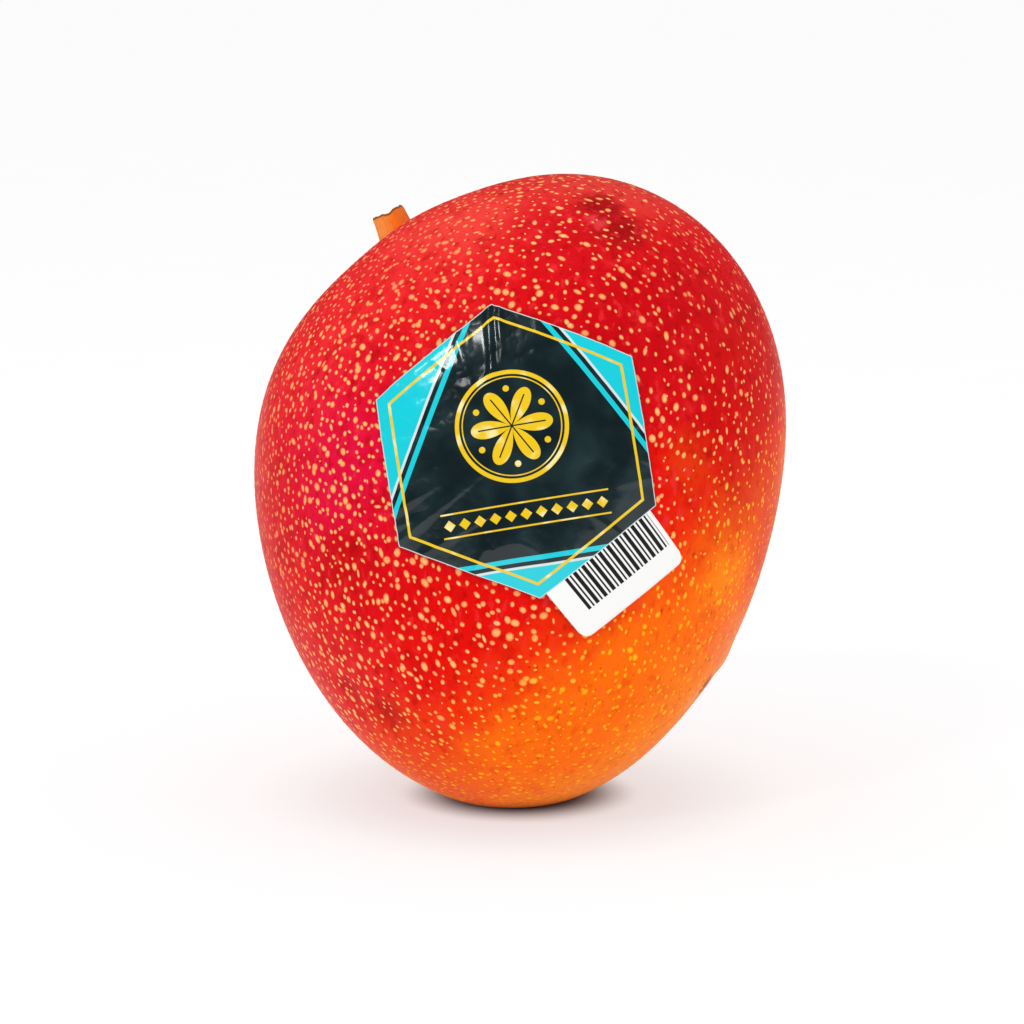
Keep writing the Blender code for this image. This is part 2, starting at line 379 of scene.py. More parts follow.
def use_group(group, values):
    """Places a group where these values come from, and returns its outputs."""
    return fed_node("Group", values, node_tree=group).outputs


def own_map(tree, name):
    """The place that a mesh carries in its map of this name."""
    return add_node(tree, "UVMap", uv_map=name).outputs["UV"]


def raise_by(shader, height, strength, distance):
    """Bumps the shader's surface by a height pattern; the distance is in metres."""
    bump = fed_node("Bump", {"Strength": strength, "Distance": distance, "Height": height})
    feed(shader["Normal"], bump.outputs["Normal"])


def new_finish(name, piece):
    """A material on the piece; returns its tree and its main shader's sockets."""
    material = bpy.data.materials.new(name)
    material.use_nodes = True
    piece.data.materials.clear()
    piece.data.materials.append(material)
    return material.node_tree, material.node_tree.nodes["Principled BSDF"].inputs


print("ripe red as linear light:", paint(228, 30, 24))

# %% [markdown]
# ## Effects that more than one finish uses
# Fine grain breaks up every surface: the pores of the skin, the fibres of the stem, the film
# of the sticker. It is one group, placed in each material with its own size. A second group
# paints one soft patch of colour, because ripening comes in clouds and not in stripes; the
# same patches also lay the painted highlight, shade and shadow among the skin's washes.

# %% The fine grain group
CLOUDS_PER_GRAIN = 0.14
takes = {"Place": "Vector", "Size": "Float", "Stretch": "Vector"}
gives = {"Height": "Float", "Clouds": "Float"}
grain_tree, taken, given = new_group("fine_grain", takes, gives)
stretched = vector("MULTIPLY", taken["Place"], taken["Stretch"])
scale = calc("DIVIDE", 1.0, taken["Size"])
feed(given["Height"], noise(stretched, scale, detail=3.0))
wide = calc("MULTIPLY", scale, CLOUDS_PER_GRAIN)
feed(given["Clouds"], noise(stretched, wide))


def fine_grain(place, size, stretch=(1.0, 1.0, 1.0)):
    """The height and the clouds of a grain of this size, in the units of the place."""
    return use_group(grain_tree, {"Place": place, "Size": size, "Stretch": stretch})


print("group:", grain_tree.name)

# %% The soft patch group
takes = {"Place": "Vector", "Middle": "Vector", "Reach": "Float", "Softness": "Float"}
patch_tree, taken, given = new_group("soft_patch", takes, {"Share": "Float"})
apart = vector("DISTANCE", taken["Place"], taken["Middle"])
blur = calc("MULTIPLY", taken["Reach"], taken["Softness"])
outer = calc("ADD", taken["Reach"], blur)
inner = calc("SUBTRACT", taken["Reach"], blur)
feed(given["Share"], fade(apart, outer, inner))


def soft_patch(place, middle, reach, softness):
    """1 within the patch and 0 outside it, with a soft edge that the softness widens."""
    values = {"Place": place, "Middle": middle, "Reach": reach, "Softness": softness}
    return use_group(patch_tree, values)["Share"]


print("group:", patch_tree.name)

# %% [markdown]
# ## The colour of the skin
# The sunny side of the fruit turned crimson, with rosier clouds towards the upper left, and
# the lower right end ripened to orange. So the base is a walk from crimson to orange along
# one slanting line, and soft patches are laid over it like washes of paint. Some of the
# washes are painted light: paler ones on the upper left and the top rim are partly painted
# highlight, darker ones on the shoulder to the right are partly painted shade, the wash next
# to the pressed spot is painted shadow, and a pale line on the beak's ridge and a dark one in
# its crease are painted highlight and shade. Noise pushes the place about first, so that no
# wash has a round edge. It is all one group, because the skin and the edges of its spots
# both wear it.

# %% Colours and places of the washes
CRIMSON = paint(218, 2, 15)
RIPENING_WAY = (0.61, 0.0, -0.79)
RIPENING = [
    # colour, and where along the slanting line in mm it starts and is full
    (paint(229, 8, 0), -8.0, 10.0),
    (paint(242, 50, 0), 10.0, 21.0),
    (paint(254, 110, 0), 19.0, 33.0),
    (paint(253, 128, 0), 40.0, 54.0),
]
WASHES = {
    # colour, middle in mm from the fruit's middle, reach in mm, softness, strength
    "rosy left cheek": (paint(223, 6, 60), (-37.0, -36.0, 12.0), 17.0, 0.8, 0.95),
    "deep left": (paint(211, 4, 28), (-48.0, -22.0, 1.0), 11.0, 0.8, 0.7),
    "rosy left limb": (paint(222, 26, 32), (-55.0, -4.0, 4.0), 17.0, 0.5, 0.8),
    # These three washes are partly the skin's own rosier tone and partly painted highlight from the
    # lamps above and to the left.
    "paler left shoulder and painted highlight": (paint(232, 40, 46), (-39.0, -20.0, 28.0), 12.0, 0.8, 0.75),
    "paler upper left and painted highlight": (paint(233, 36, 40), (-26.0, -20.0, 44.0), 16.0, 0.8, 0.75),
    "paler under the stem and painted highlight": (paint(235, 66, 56), (-11.0, -14.0, 56.0), 13.0, 0.7, 0.8),
    "deep top": (paint(206, 8, 26), (9.0, -22.0, 54.0), 9.0, 0.8, 0.7),
    # Darker red on the shoulder to the right: partly deep crimson skin, partly painted shade where
    # the skin turns from the lamps.
    "deep shoulder and painted shade": (paint(198, 0, 14), (28.0, -30.0, 38.0), 20.0, 0.7, 0.85),
    # Paler red along the top rim, partly painted highlight from the light above.
    "paler top rim and painted highlight": (paint(224, 64, 54), (18.0, 0.0, 63.0), 15.0, 0.6, 0.75),
    # This one too is partly painted shade.
    "deep right shoulder and painted shade": (paint(201, 16, 17), (43.0, -14.0, 30.0), 13.0, 0.7, 0.7),
    "right flank": (paint(206, 2, 0), (42.0, -26.0, 13.0), 15.0, 0.7, 0.8),
    "ripening right edge": (paint(228, 48, 0), (49.0, -10.0, -6.0), 12.0, 0.7, 0.75),
    "gold cluster": (paint(232, 74, 0), (32.0, -38.0, 12.0), 4.6, 0.9, 0.5),
    "gold patch": (paint(255, 144, 0), (39.4, -30.0, -13.0), 5.5, 0.9, 0.6),
    "dark bloom": (paint(198, 0, 0), (-34.6, -40.0, -8.1), 6.0, 0.8, 0.85),
    "dusty low left": (paint(225, 36, 38), (-38.0, -28.0, -32.0), 15.0, 0.8, 0.8),
    "dusty heel": (paint(238, 64, 14), (-22.0, -30.0, -52.0), 13.0, 0.7, 0.7),
    "first dent": (paint(188, 4, 2), (-34.5, -31.0, -36.0), 2.8, 0.8, 0.8),
    "second dent": (paint(186, 6, 2), (-26.7, -35.6, -40.0), 3.6, 0.8, 0.85),
    "pressed spot": (paint(168, 0, 4), (15.4, -13.0, 57.8), 4.4, 0.5, 1.0),
    # Painted shadow: darker red for the shade inside the pressed spot's dent.
    "painted shadow by the pressed spot": (paint(160, 0, 10), (20.0, -19.0, 54.0), 4.0, 0.7, 0.95),
    "scar": (paint(232, 76, 84), (14.4, -19.0, 55.6), 1.9, 0.6, 0.6),
    "salmon by the beak": (paint(246, 118, 62), (41.0, -20.0, -28.0), 6.0, 0.8, 0.6),
    # Painted highlight along the ridge of the beak.
    "painted highlight on the beak's ridge": (paint(252, 146, 84), (34.6, -21.0, -40.4), 2.8, 0.5, 0.75),
    # Painted shade in the crease under the beak's ridge.
    "painted shade in the beak's crease": (paint(164, 58, 0), (37.4, -17.6, -37.8), 2.1, 0.6, 0.9),
}
print("washes:", ", ".join(WASHES))

# %% Lay the washes
PUSH_MM, PUSHES_PER_MM = 20.0, 0.06
FINE_PUSH_MM, FINE_PUSHES_PER_MM = 4.0, 0.5
SMALL_WASH = 7.0
RIPE_START, RIPE_FULL = 10.0, 32.0
gives = {"Colour": "Color", "Ripeness": "Float"}
field_tree, taken, given = new_group("skin_colour", {"Place": "Vector"}, gives)
in_mm = taken["Place"]
push = vector("SCALE", cloud(in_mm, PUSHES_PER_MM, 3.0), scale=PUSH_MM)
push_fine = vector("SCALE", cloud(in_mm, FINE_PUSHES_PER_MM), scale=FINE_PUSH_MM)
pushed = vector("ADD", vector("ADD", in_mm, push), push_fine)
pushed_little = vector("ADD", in_mm, push_fine)
along = vector("DOT_PRODUCT", pushed, RIPENING_WAY)
colour = CRIMSON
for ripe, start, full in RIPENING:
    colour = mix(fade(along, start, full), colour, ripe)
for wash, middle, reach, softness, strength in WASHES.values():
    place = pushed_little if reach < SMALL_WASH else pushed
    share = soft_patch(place, middle, reach, softness)
    colour = wash_over(share, strength, colour, wash)
ripeness = fade(along, RIPE_START, RIPE_FULL)
print("nodes in the colour group so far:", len(field_tree.nodes))

# %% [markdown]
# Between the washes and the spots lies mottling: lighter and darker clouds, a few
# millimetres wide, smaller dapples drawn out upwards, and fine specks of a deeper red. It is
# stronger where the skin is red.

# %% Mottle the colour
LESS_WHERE_RIPE = 0.58
DRAWN_OUT = (1.0, 1.0, 0.55)
CLOUDS_PER_MM, DAPPLES_PER_MM = 0.2, 0.55
SPECKS_PER_MM, SPECKLED_PER_MM = 1.3, 0.12
redness = calc("MULTIPLY_ADD", ripeness, -LESS_WHERE_RIPE, 1.0)
mottle = noise(in_mm, CLOUDS_PER_MM, detail=5.0, roughness=0.6)
drawn_out = vector("MULTIPLY", in_mm, DRAWN_OUT)
dapple = noise(drawn_out, DAPPLES_PER_MM, detail=3.0)
MOTTLING = (
    # a pattern, then its dark part and its pale part: where each starts and is full, and
    # its tone and strength
    (mottle, (0.5, 0.3), paint(228, 110, 130), 0.7, (0.54, 0.78), paint(238, 46, 46), 0.35),
    (dapple, (0.44, 0.3), paint(218, 90, 100), 0.75, (0.56, 0.72), paint(240, 56, 58), 0.45),
)
for pattern, dark, dark_tone, dark_strength, pale, pale_tone, pale_strength in MOTTLING:
    deep = mix(1.0, colour, dark_tone, how="MULTIPLY")
    share = calc("MULTIPLY", fade(pattern, *dark), redness)
    colour = wash_over(share, dark_strength, colour, deep)
    share = calc("MULTIPLY", fade(pattern, *pale), redness)
    colour = wash_over(share, pale_strength, colour, pale_tone)
specks = noise(drawn_out, SPECKS_PER_MM)
speckled = fade(noise(in_mm, SPECKLED_PER_MM), 0.44, 0.6)
freckled = mix(1.0, colour, paint(222, 140, 110), how="MULTIPLY")
freckles = calc("MULTIPLY", fade(specks, 0.64, 0.72), speckled)
colour = mix(freckles, colour, freckled)
feed(given["Colour"], colour)
feed(given["Ripeness"], ripeness)
print("nodes in the colour group:", len(field_tree.nodes))

# %% [markdown]
# ## Wax and pores
# A mango has a thin waxy bloom: satin, with broad soft highlights and a paler veil where the
# skin turns away. The veil is the shader's sheen. The roughness wanders a little with the
# clouds.

# %% The finish of the skin
SKIN_SPECULAR = 0.05
SKIN_ROUGHNESS = (0.16, 0.36)  # how far it wanders, and its least
PORE_DEPTH = 0.00008
skin_tree, skin_shader = new_finish("mango_skin", mango_skin)


def place_in_mm(tree):
    """The place on the fruit in millimetres from its middle."""
    place = add_node(tree, "TexCoord").outputs["Object"]
    centred = vector("SUBTRACT", place, tuple(MIDDLE))
    return vector("SCALE", centred, scale=1000.0)


in_mm = place_in_mm(skin_tree)
skin_paint = use_group(field_tree, {"Place": in_mm})
grain = fine_grain(in_mm, 0.55)
rough = calc("MULTIPLY_ADD", grain["Clouds"], *SKIN_ROUGHNESS)
raise_by(skin_shader, grain["Height"], 0.6, PORE_DEPTH)
skin_look = {
    "Base Color": skin_paint["Colour"],
    "Roughness": rough,
    "Specular IOR Level": SKIN_SPECULAR,
    "Sheen Weight": 0.03,
    "Sheen Roughness": 0.3,
    "Sheen Tint": paint(255, 190, 180),
}
feed_all(skin_shader, skin_look)
print("skin finish:", len(skin_tree.nodes), "nodes")

# %% [markdown]
# ## The pale spots
# The spots on a mango are lenticels, the pores that it breathes through: small raised discs
# of pale cork. They could be painted, but a texture's spots clump and tear. Here each is a
# low dome of its own. The golden angle spreads them evenly, as it does seeds in a flower
# head, and seeded random draws push them about and vary their size, stretch and slant.

# %% Values of the spots
SPOT_COUNT = 10900
SPOT_SEED = 5
SPOT_RADIUS_MM = 0.5
SPOT_SPREAD = 0.32
SPOT_SMALLEST_MM, SPOT_LARGEST_MM = 0.2, 0.95
SPOT_PUSH = 0.25
SPOT_STRETCH, SPOT_STRETCH_SPREAD = 1.22, 0.12
SMALLER_WHERE_RIPE, SMALLER_WHERE_SUNNY = 0.14, 0.12
SPOT_SLANT = math.radians(24.0)
STREAK_SHARE, STREAK_STRETCH = 0.05, 1.9
SPOT_RISE_MM, SPOT_SINK_MM = 0.05, 0.008
SPOT_SIDES = 10
SPOT_WOBBLE = 0.1
RIPE_SPOTS_MM = (10, 34)
SUNNY_WAY, SUNNY_SPOTS_MM = (0.7, 0.0, 0.7), (6, 44)
RIGHT_EDGE_MM, RIGHT_BARE_SHARE = 40.0, 0.32
STEM_CLEAR_MM = 6.2
FLOOR_CLEAR_MM = 1.5
GOLDEN_ANGLE = math.pi * (3 - math.sqrt(5))
print("spots to place:", SPOT_COUNT)


# %% Where the spots are
def spread(count):
    """Unit directions spread evenly: each turns by the golden angle and sinks one step."""
    step = np.arange(count) + 0.5
    sink = 1 - 2 * step / count
    flat = np.sqrt(1 - sink**2)
    turn = step * GOLDEN_ANGLE
    return np.stack([flat * np.cos(turn), flat * np.sin(turn), sink], axis=1)


def unit(rows):
    """Each row at length one."""
    return rows / np.linalg.norm(rows, axis=1)[:, None]


def two_ways(middles):
    """Two directions along the skin at each place: towards the stem, and square to that."""
    lengthwise = unit(stem_direction - (middles @ stem_direction)[:, None] * middles)
    return lengthwise, np.cross(middles, lengthwise)


draw = np.random.default_rng(SPOT_SEED)
to_stem = Vector((0, 0, 1)).rotation_difference(Vector(stem_direction)).to_matrix()
spot_middles = spread(SPOT_COUNT) @ np.array(to_stem).T
lengthwise, crosswise = two_ways(spot_middles)
spot_gap = math.sqrt(4 * math.pi / SPOT_COUNT)
pushes = draw.normal(0, SPOT_PUSH * spot_gap, (SPOT_COUNT, 2))
spot_middles = unit(spot_middles + pushes[:, :1] * lengthwise + pushes[:, 1:] * crosswise)
spot_at = skin(spot_middles)
from_stem = np.linalg.norm(spot_at - skin(stem_direction[None]), axis=1) * 1000
kept = (from_stem > STEM_CLEAR_MM) & (spot_at[:, 2] * 1000 > FLOOR_CLEAR_MM)
to_right = np.clip(spot_at[:, 0] * 1000 / RIGHT_EDGE_MM, 0, 1)
kept &= draw.random(len(spot_at)) > RIGHT_BARE_SHARE * to_right
spot_middles, spot_at = spot_middles[kept], spot_at[kept]
print("spots kept:", len(spot_middles))


# %% How big the spots are
def ease(value, start, end):
    """0 at the start value and 1 at the end value, with a smooth step in between."""
    share = np.clip((value - start) / (end - start), 0, 1)
    return share * share * (3 - 2 * share)


count = len(spot_middles)
spot_mm = (spot_at - MIDDLE) * 1000
ripe = ease(spot_mm @ np.array(RIPENING_WAY), *RIPE_SPOTS_MM)
sunny = ease(spot_mm @ np.array(SUNNY_WAY), *SUNNY_SPOTS_MM)
radius = SPOT_RADIUS_MM * np.exp(draw.normal(0, SPOT_SPREAD, count))
radius = np.clip(radius, SPOT_SMALLEST_MM, SPOT_LARGEST_MM)
radius *= (1 - SMALLER_WHERE_RIPE * ripe) * (1 - SMALLER_WHERE_SUNNY * sunny)
stretch = SPOT_STRETCH * np.exp(draw.normal(0, SPOT_STRETCH_SPREAD, count))
stretch = np.where(draw.random(count) < STREAK_SHARE, stretch * STREAK_STRETCH, stretch)
slant = draw.normal(0, SPOT_SLANT, count)
tint = draw.random(count)
print("mean spot width in mm:", round(2 * float(radius.mean()), 2))

# %% Build the spots
ring_share = np.concatenate([[0.0], np.ones(SPOT_SIDES)])
ring_turn = np.concatenate([[0.0], np.arange(SPOT_SIDES) / SPOT_SIDES * 2 * math.pi])
lengthwise, crosswise = two_ways(spot_middles)
long_way = np.cos(slant)[:, None] * lengthwise + np.sin(slant)[:, None] * crosswise
short_way = np.cos(slant)[:, None] * crosswise - np.sin(slant)[:, None] * lengthwise
size = (radius / np.linalg.norm(spot_mm, axis=1))[:, None] * ring_share
wobble = 1 + SPOT_WOBBLE * np.sin(2 * ring_turn + 2 * math.pi * tint[:, None]) * (ring_share > 0)
long_part = size * wobble * np.cos(ring_turn) * np.sqrt(stretch)[:, None]
short_part = size * wobble * np.sin(ring_turn) / np.sqrt(stretch)[:, None]
spot_rays = spot_middles[:, None] + long_part[..., None] * long_way[:, None]
spot_rays = spot_rays + short_part[..., None] * short_way[:, None]
spot_rays = unit(spot_rays.reshape(-1, 3))
lift = SPOT_RISE_MM - (SPOT_RISE_MM + SPOT_SINK_MM) * ring_share
lift = np.tile(lift, count)[:, None] * 0.001
spot_points = np.clip(skin(spot_rays) + lift * (spot_rays @ STANDING.T), box_low, box_high)
side = np.arange(SPOT_SIDES)
fan = np.stack([np.zeros(SPOT_SIDES, int), 1 + side, 1 + (side + 1) % SPOT_SIDES], axis=1)
spot_fans = (np.arange(count)[:, None, None] * len(ring_share) + fan).reshape(-1, 3)
spot_mesh = new_mesh("pale_spots", spot_points, spot_fans)
spot_values = np.stack([np.tile(ring_share, count), np.repeat(tint, len(ring_share))], axis=1)
add_map(spot_mesh, "spot", spot_values)
pale_spots = new_piece("pale_spots", spot_mesh, "fruit")
faces_out = np.array(spot_mesh.polygons[0].normal) @ (spot_points[0] - MIDDLE) > 0
print("spots:", count, "first one faces out:", bool(faces_out))

# %% [markdown]
# Each spot carries its own small map: how far a point is from the spot's middle, and one
# random number for its tint. The middle is cream on the red skin and yellow on the orange,
# and the rim turns to the colour of the skin round it. Towards the left limb the spots fade
# into the skin's colour, a painted part of the sheen's veil there; under the stem and on the
# high shoulder they fade the same way.

# %% The finish of the spots
CORK_ROUGHNESS = (0.2, 0.42)
CORK_DEPTH = 0.00003
# Towards the left limb the spots are faded into the skin as painted sheen.
VEIL_ON_THE_LEFT = (-34.0, -54.0)
VEILS = {
    # middle in mm from the fruit's middle, and reach in mm
    "under the stem": ((-24.0, -14.0, 50.0), 19.0),
    "on the high shoulder": ((34.0, -16.0, 42.0), 17.0),
}
spot_tree, spot_shader = new_finish("spot_cork", pale_spots)
from_middle, spot_tint, _ = split(own_map(spot_tree, "spot"))
spot_place = place_in_mm(spot_tree)
skin_paint = use_group(field_tree, {"Place": spot_place})
grain = fine_grain(spot_place, 0.3)
cork = mix(skin_paint["Ripeness"], paint(255, 200, 124), paint(255, 190, 22))
deeper = mix(skin_paint["Ripeness"], paint(246, 132, 74), paint(250, 146, 6))
mealy = fade(grain["Height"], 0.54, 0.38)
# Painted sheen: the spots fade towards the left limb; under the stem and on the high shoulder they
# fade too.
veiled = fade(split(spot_place)["X"], *VEIL_ON_THE_LEFT)
for middle, reach in VEILS.values():
    veil = soft_patch(spot_place, middle, reach, 0.9)
    veiled = calc("MAXIMUM", veiled, veil)
rim = fade(from_middle, 0.34, 1.0)
CORK_LAYERS = (
    # where it lies, its strength, and its colour
    (spot_tint, 0.5, deeper),
    (mealy, 0.5, deeper),
    (veiled, 0.45, skin_paint["Colour"]),
    (rim, 0.9, skin_paint["Colour"]),
)
for share, strength, tone in CORK_LAYERS:
    cork = wash_over(share, strength, cork, tone)
rough = calc("MULTIPLY_ADD", grain["Height"], *CORK_ROUGHNESS)
raise_by(spot_shader, grain["Height"], 0.4, CORK_DEPTH)
spot_look = {"Base Color": cork, "Roughness": rough, "Specular IOR Level": SKIN_SPECULAR}
feed_all(spot_shader, spot_look)
print("spot finish:", len(spot_tree.nodes), "nodes")

# %% [markdown]
# ## The stem stub
# What is left of the stem is a plug of dry wood, flared at its foot, bent a little and
# broken off on a slant. Its side and its broken top are one grid: the first rows climb the
# side, and the last ones run inwards over the break.

# %% Values of the stem: its form as in the solid, and the fibres and the ragged break
STEM_AIM_TURN, STEM_AIM_SIDE = 8.0, -2.0
STEM_LENGTH = 0.0088
STEM_ROOT = 0.0025
STEM_TOP_RADIUS = 0.0033
STEM_FLARE = 0.0013
STEM_FLARE_HEIGHT = 0.005
STEM_LOBES_FROM = 0.003
STEM_STEP = 0.0009
STEM_STEP_STEEPNESS = 2.2
STEM_FALL = 0.0004
STEM_RAGGED = 0.0002
STEM_RAGGED_TEETH = 4
STEM_LOBES = ((3, 0.035, 0.6), (5, 0.03, 0.0))
STEM_BEND = 0.0006
STEM_WORN_EDGE = 0.93
STEM_ROUND = 180
STEM_UP = 70
STEM_INWARD = 26
FIBRE_DEPTH = 0.00006
FIBRE_TWIST = 90
GRAIN_DEPTH = 0.00012
STEM_FRAY = 0.00012
STEM_DISH = 0.0004
STEM_NOTCH, STEM_NOTCH_AT = 0.001, 0.08
STEM_NOTCH_LEFT, STEM_NOTCH_RIGHT = 0.25, 0.5
STEM_LEFT_LIFT = 0.0007
print("stem length in mm:", STEM_LENGTH * 1000)


# %% The stem as a function of its turn and height
def stem_points(turn, climb, inward):
    """Points of the stub in its own axes, Z along it.

    Radius: the top radius plus a flare that dies away upwards, with lobes and fine fibres
    above the root. Height: the root to the break, which slants, steps, frays and has a
    notch across it, while its left corner stands a little higher. Inward is 0 on the side
    and runs to 1 at the middle of the break.
    """
    edge = 1 - inward
    x, y = edge * np.cos(turn), edge * np.sin(turn)
    slant = STEM_STEP * np.tanh(STEM_STEP_STEEPNESS * x) - STEM_FALL * y
    slant += STEM_RAGGED * edge * np.cos(STEM_RAGGED_TEETH * turn)
    reach = np.where(x < STEM_NOTCH_AT, STEM_NOTCH_LEFT, STEM_NOTCH_RIGHT)
    slant -= STEM_NOTCH * np.exp(-(((x - STEM_NOTCH_AT) / reach) ** 2))
    slant += STEM_LEFT_LIFT * np.clip(-2 * x - 0.5, 0, 1)
    fray = STEM_FRAY * np.sin(11 * x + 5 * y + 2) * np.sin(9 * y - 4 * x)
    slant += fray * np.clip(climb * 3 - 2, 0, 1)
    slant -= STEM_DISH * np.sin(math.pi * np.clip(inward, 0, 1)) ** 2
    z = -STEM_ROOT + climb * (STEM_ROOT + STEM_LENGTH + slant)
    radius = STEM_TOP_RADIUS + STEM_FLARE * np.exp(-np.maximum(z, 0) / STEM_FLARE_HEIGHT)
    above = np.clip(z / STEM_LOBES_FROM, 0, 1)
    lobes = [tall * np.cos(count * turn + start) for count, tall, start in STEM_LOBES]
    radius *= 1 + above * sum(lobes)
    lean = turn + FIBRE_TWIST * z
    fibres = np.abs(np.sin(9.5 * lean + 1.3 * np.sin(3 * lean))) + 0.6 * np.abs(np.sin(21 * lean + 2))
    radius += above * FIBRE_DEPTH * (0.8 - fibres)
    radius *= 1 - (1 - STEM_WORN_EDGE) * np.clip(climb * 14 - 13, 0, 1) ** 2
    bend = -STEM_BEND * above * (z / STEM_LENGTH) ** 2
    return np.stack([radius * x + bend, radius * y, z], axis=-1)


# %% Build the stem where it grows
def stem_axes():
    """The stem's own axes as columns: to the right, to the back, and along it."""
    along = Vector(STANDING @ direction(STEM_AIM_TURN, STEM_AIM_SIDE)).normalized()
    back = along.cross(Vector((1, 0, 0))).normalized()
    return np.array([back.cross(along), back, along]).T


turn = np.arange(STEM_ROUND) / STEM_ROUND * 2 * math.pi
climb = np.concatenate([np.linspace(0, 1, STEM_UP), np.ones(STEM_INWARD)])
inward = np.concatenate([np.zeros(STEM_UP), np.arange(1, STEM_INWARD + 1) / (STEM_INWARD + 1)])
stem_grid = stem_points(turn[None, :], climb[:, None], inward[:, None])
foot = stem_points(np.zeros(1), np.zeros(1), np.ones(1))
top = stem_points(np.zeros(1), np.ones(1), np.ones(1))
stem_foot = skin(stem_direction[None])[0]
stem_turned = stem_axes()
stem_grid = stem_grid @ stem_turned.T + stem_foot
foot, top = foot @ stem_turned.T + stem_foot, top @ stem_turned.T + stem_foot
stem_mesh = closed_grid("stem_stub", stem_grid[:, ::-1], foot[0], top[0])
below_break = (1 - np.clip(climb, 0, 1)) * (STEM_ROOT + STEM_LENGTH) * 1000
below_break = np.append(np.repeat(below_break, STEM_ROUND), [below_break[0], 0.0])
add_map(stem_mesh, "break", np.stack([below_break, np.zeros(len(below_break))], axis=1))
stem_stub = new_piece("stem_stub", stem_mesh, "stem")
print("stem:", len(stem_mesh.polygons), "faces,", round(volume(stem_mesh), 2), "cubic cm")

# %% [markdown]
# The wood is orange-brown, paler down one side, with darker fibres along it and a dark,
# weathered rim round the break. The pattern reads Object coordinates, turned so that one
# axis runs up the stem, and is drawn out long that way.

# %% The finish of the stem
ALONG_STEM = (1.0, 1.0, 0.16)
PALER_TO_LEFT_MM = (1.5, -3.0)
RIM_MM = (1.0, 0.5)
WOOD_ROUGHNESS = (0.2, 0.6)
wood_tree, wood_shader = new_finish("stem_wood", stem_stub)
wood_place = add_node(wood_tree, "TexCoord").outputs["Object"]
from_foot = vector("SUBTRACT", wood_place, tuple(stem_foot))
parts = [vector("DOT_PRODUCT", from_foot, tuple(axis)) for axis in stem_turned.T]
in_stem_axes = fed_node("CombineXYZ", dict(enumerate(parts))).outputs[0]
wood_mm = vector("SCALE", in_stem_axes, scale=1000.0)
fibre = fine_grain(wood_mm, 0.45, ALONG_STEM)
to_left = fade(split(wood_mm)["X"], *PALER_TO_LEFT_MM)
colour = mix(to_left, paint(244, 112, 0), paint(242, 150, 70))
below_mm = split(own_map(wood_tree, "break"))["X"]
below_mm = calc("MULTIPLY_ADD", fibre["Clouds"], 0.5, below_mm)
WOOD_LAYERS = (
    # where it lies, its strength, and its colour: dark fibres, weathered wood, dark rim
    (fade(fibre["Height"], 0.5, 0.34), 0.45, paint(176, 86, 6)),
    (fade(fibre["Clouds"], 0.52, 0.7), 0.5, paint(204, 128, 70)),
    (fade(below_mm, *RIM_MM), 0.85, paint(112, 58, 6)),
)
for share, strength, tone in WOOD_LAYERS:
    colour = wash_over(share, strength, colour, tone)
rough = calc("MULTIPLY_ADD", fibre["Height"], *WOOD_ROUGHNESS)
raise_by(wood_shader, fibre["Height"], 0.7, GRAIN_DEPTH)
wood_look = {"Base Color": colour, "Roughness": rough, "Specular IOR Level": 0.1}
feed_all(wood_shader, wood_look)
print("wood finish:", len(wood_tree.nodes), "nodes")

# %% [markdown]
# ## The sticker
# The sticker is one die-cut film: a hexagon with a tab on one side. It is drawn flat first,
# on a grid of rings shrinking to the hexagon's middle, and then laid on the cheek. A flat
# film can't follow a dome, so it puckers: a fold runs in from the top, and wrinkles fan out
# low on the left. These are real relief in the mesh, because they catch the light.

# %% Values of the sticker, as in the solid
LABEL_SIDE = 0.0297
LABEL_TURN = math.radians(9.3)
LABEL_TILT = math.radians(15.0)
LABEL_OFFSET_X = -0.0012
LABEL_OFFSET_Z = 0.0028
LABEL_START = 0.08
TAB_DEPTH = 0.0125
TAB_INSET = 0.0016
TAB_CORNER = 0.0020
CHEEK_CURVE = 0.078
APOTHEM = LABEL_SIDE * math.cos(math.pi / 6)
FILM_GAP = 0.00012
FILM_THICKNESS = 0.00010
STEPS_INSET = 3
STEPS_TAB = 60
RINGS, RING_CROWDING = 92, 0.9
TAB_ROWS = 24
MAP_PER_METRE = 10
print("sticker across its flats in mm:", round(APOTHEM * 2000, 1))


# %% The sticker drawn flat
def hexagon_edge():
    """Points round the hexagon, a corner first; the tab's side is the last of the six."""
    inset = TAB_INSET / LABEL_SIDE
    ends = np.linspace(0, inset, STEPS_INSET, endpoint=False)
    middle = np.linspace(inset, 1 - inset, STEPS_TAB, endpoint=False)
    shares = np.concatenate([ends, middle, 1 - inset + ends])
    corner = LABEL_TURN + math.radians(-30) + np.radians(60) * np.arange(7)
    corners = LABEL_SIDE * np.stack([np.cos(corner), np.sin(corner)], axis=1)
    sides = [a + (b - a) * shares[:, None] for a, b in zip(corners[:-1], corners[1:])]
    return np.concatenate(sides)


def tab_rows():
    """The tab's rows, from the hexagon's side outwards, with its outer corners rounded.

    Across the tab the columns keep their places. Each row's depth grows with the row, and
    near the two ends it falls back along a quarter circle of the corner's radius.
    """
    out = np.array([math.cos(LABEL_TURN - math.pi / 3), math.sin(LABEL_TURN - math.pi / 3)])
    across = np.array([-out[1], out[0]])
    half = LABEL_SIDE / 2 - TAB_INSET
    s = np.linspace(-half, half, STEPS_TAB + 1)
    near_end = np.clip(np.abs(s) - (half - TAB_CORNER), 0, TAB_CORNER)
    depth = TAB_DEPTH - TAB_CORNER + np.sqrt(TAB_CORNER**2 - near_end**2)
    rows = (np.arange(TAB_ROWS) + 1) / TAB_ROWS
    return (APOTHEM + rows[:, None] * depth[None, :])[..., None] * out + s[None, :, None] * across


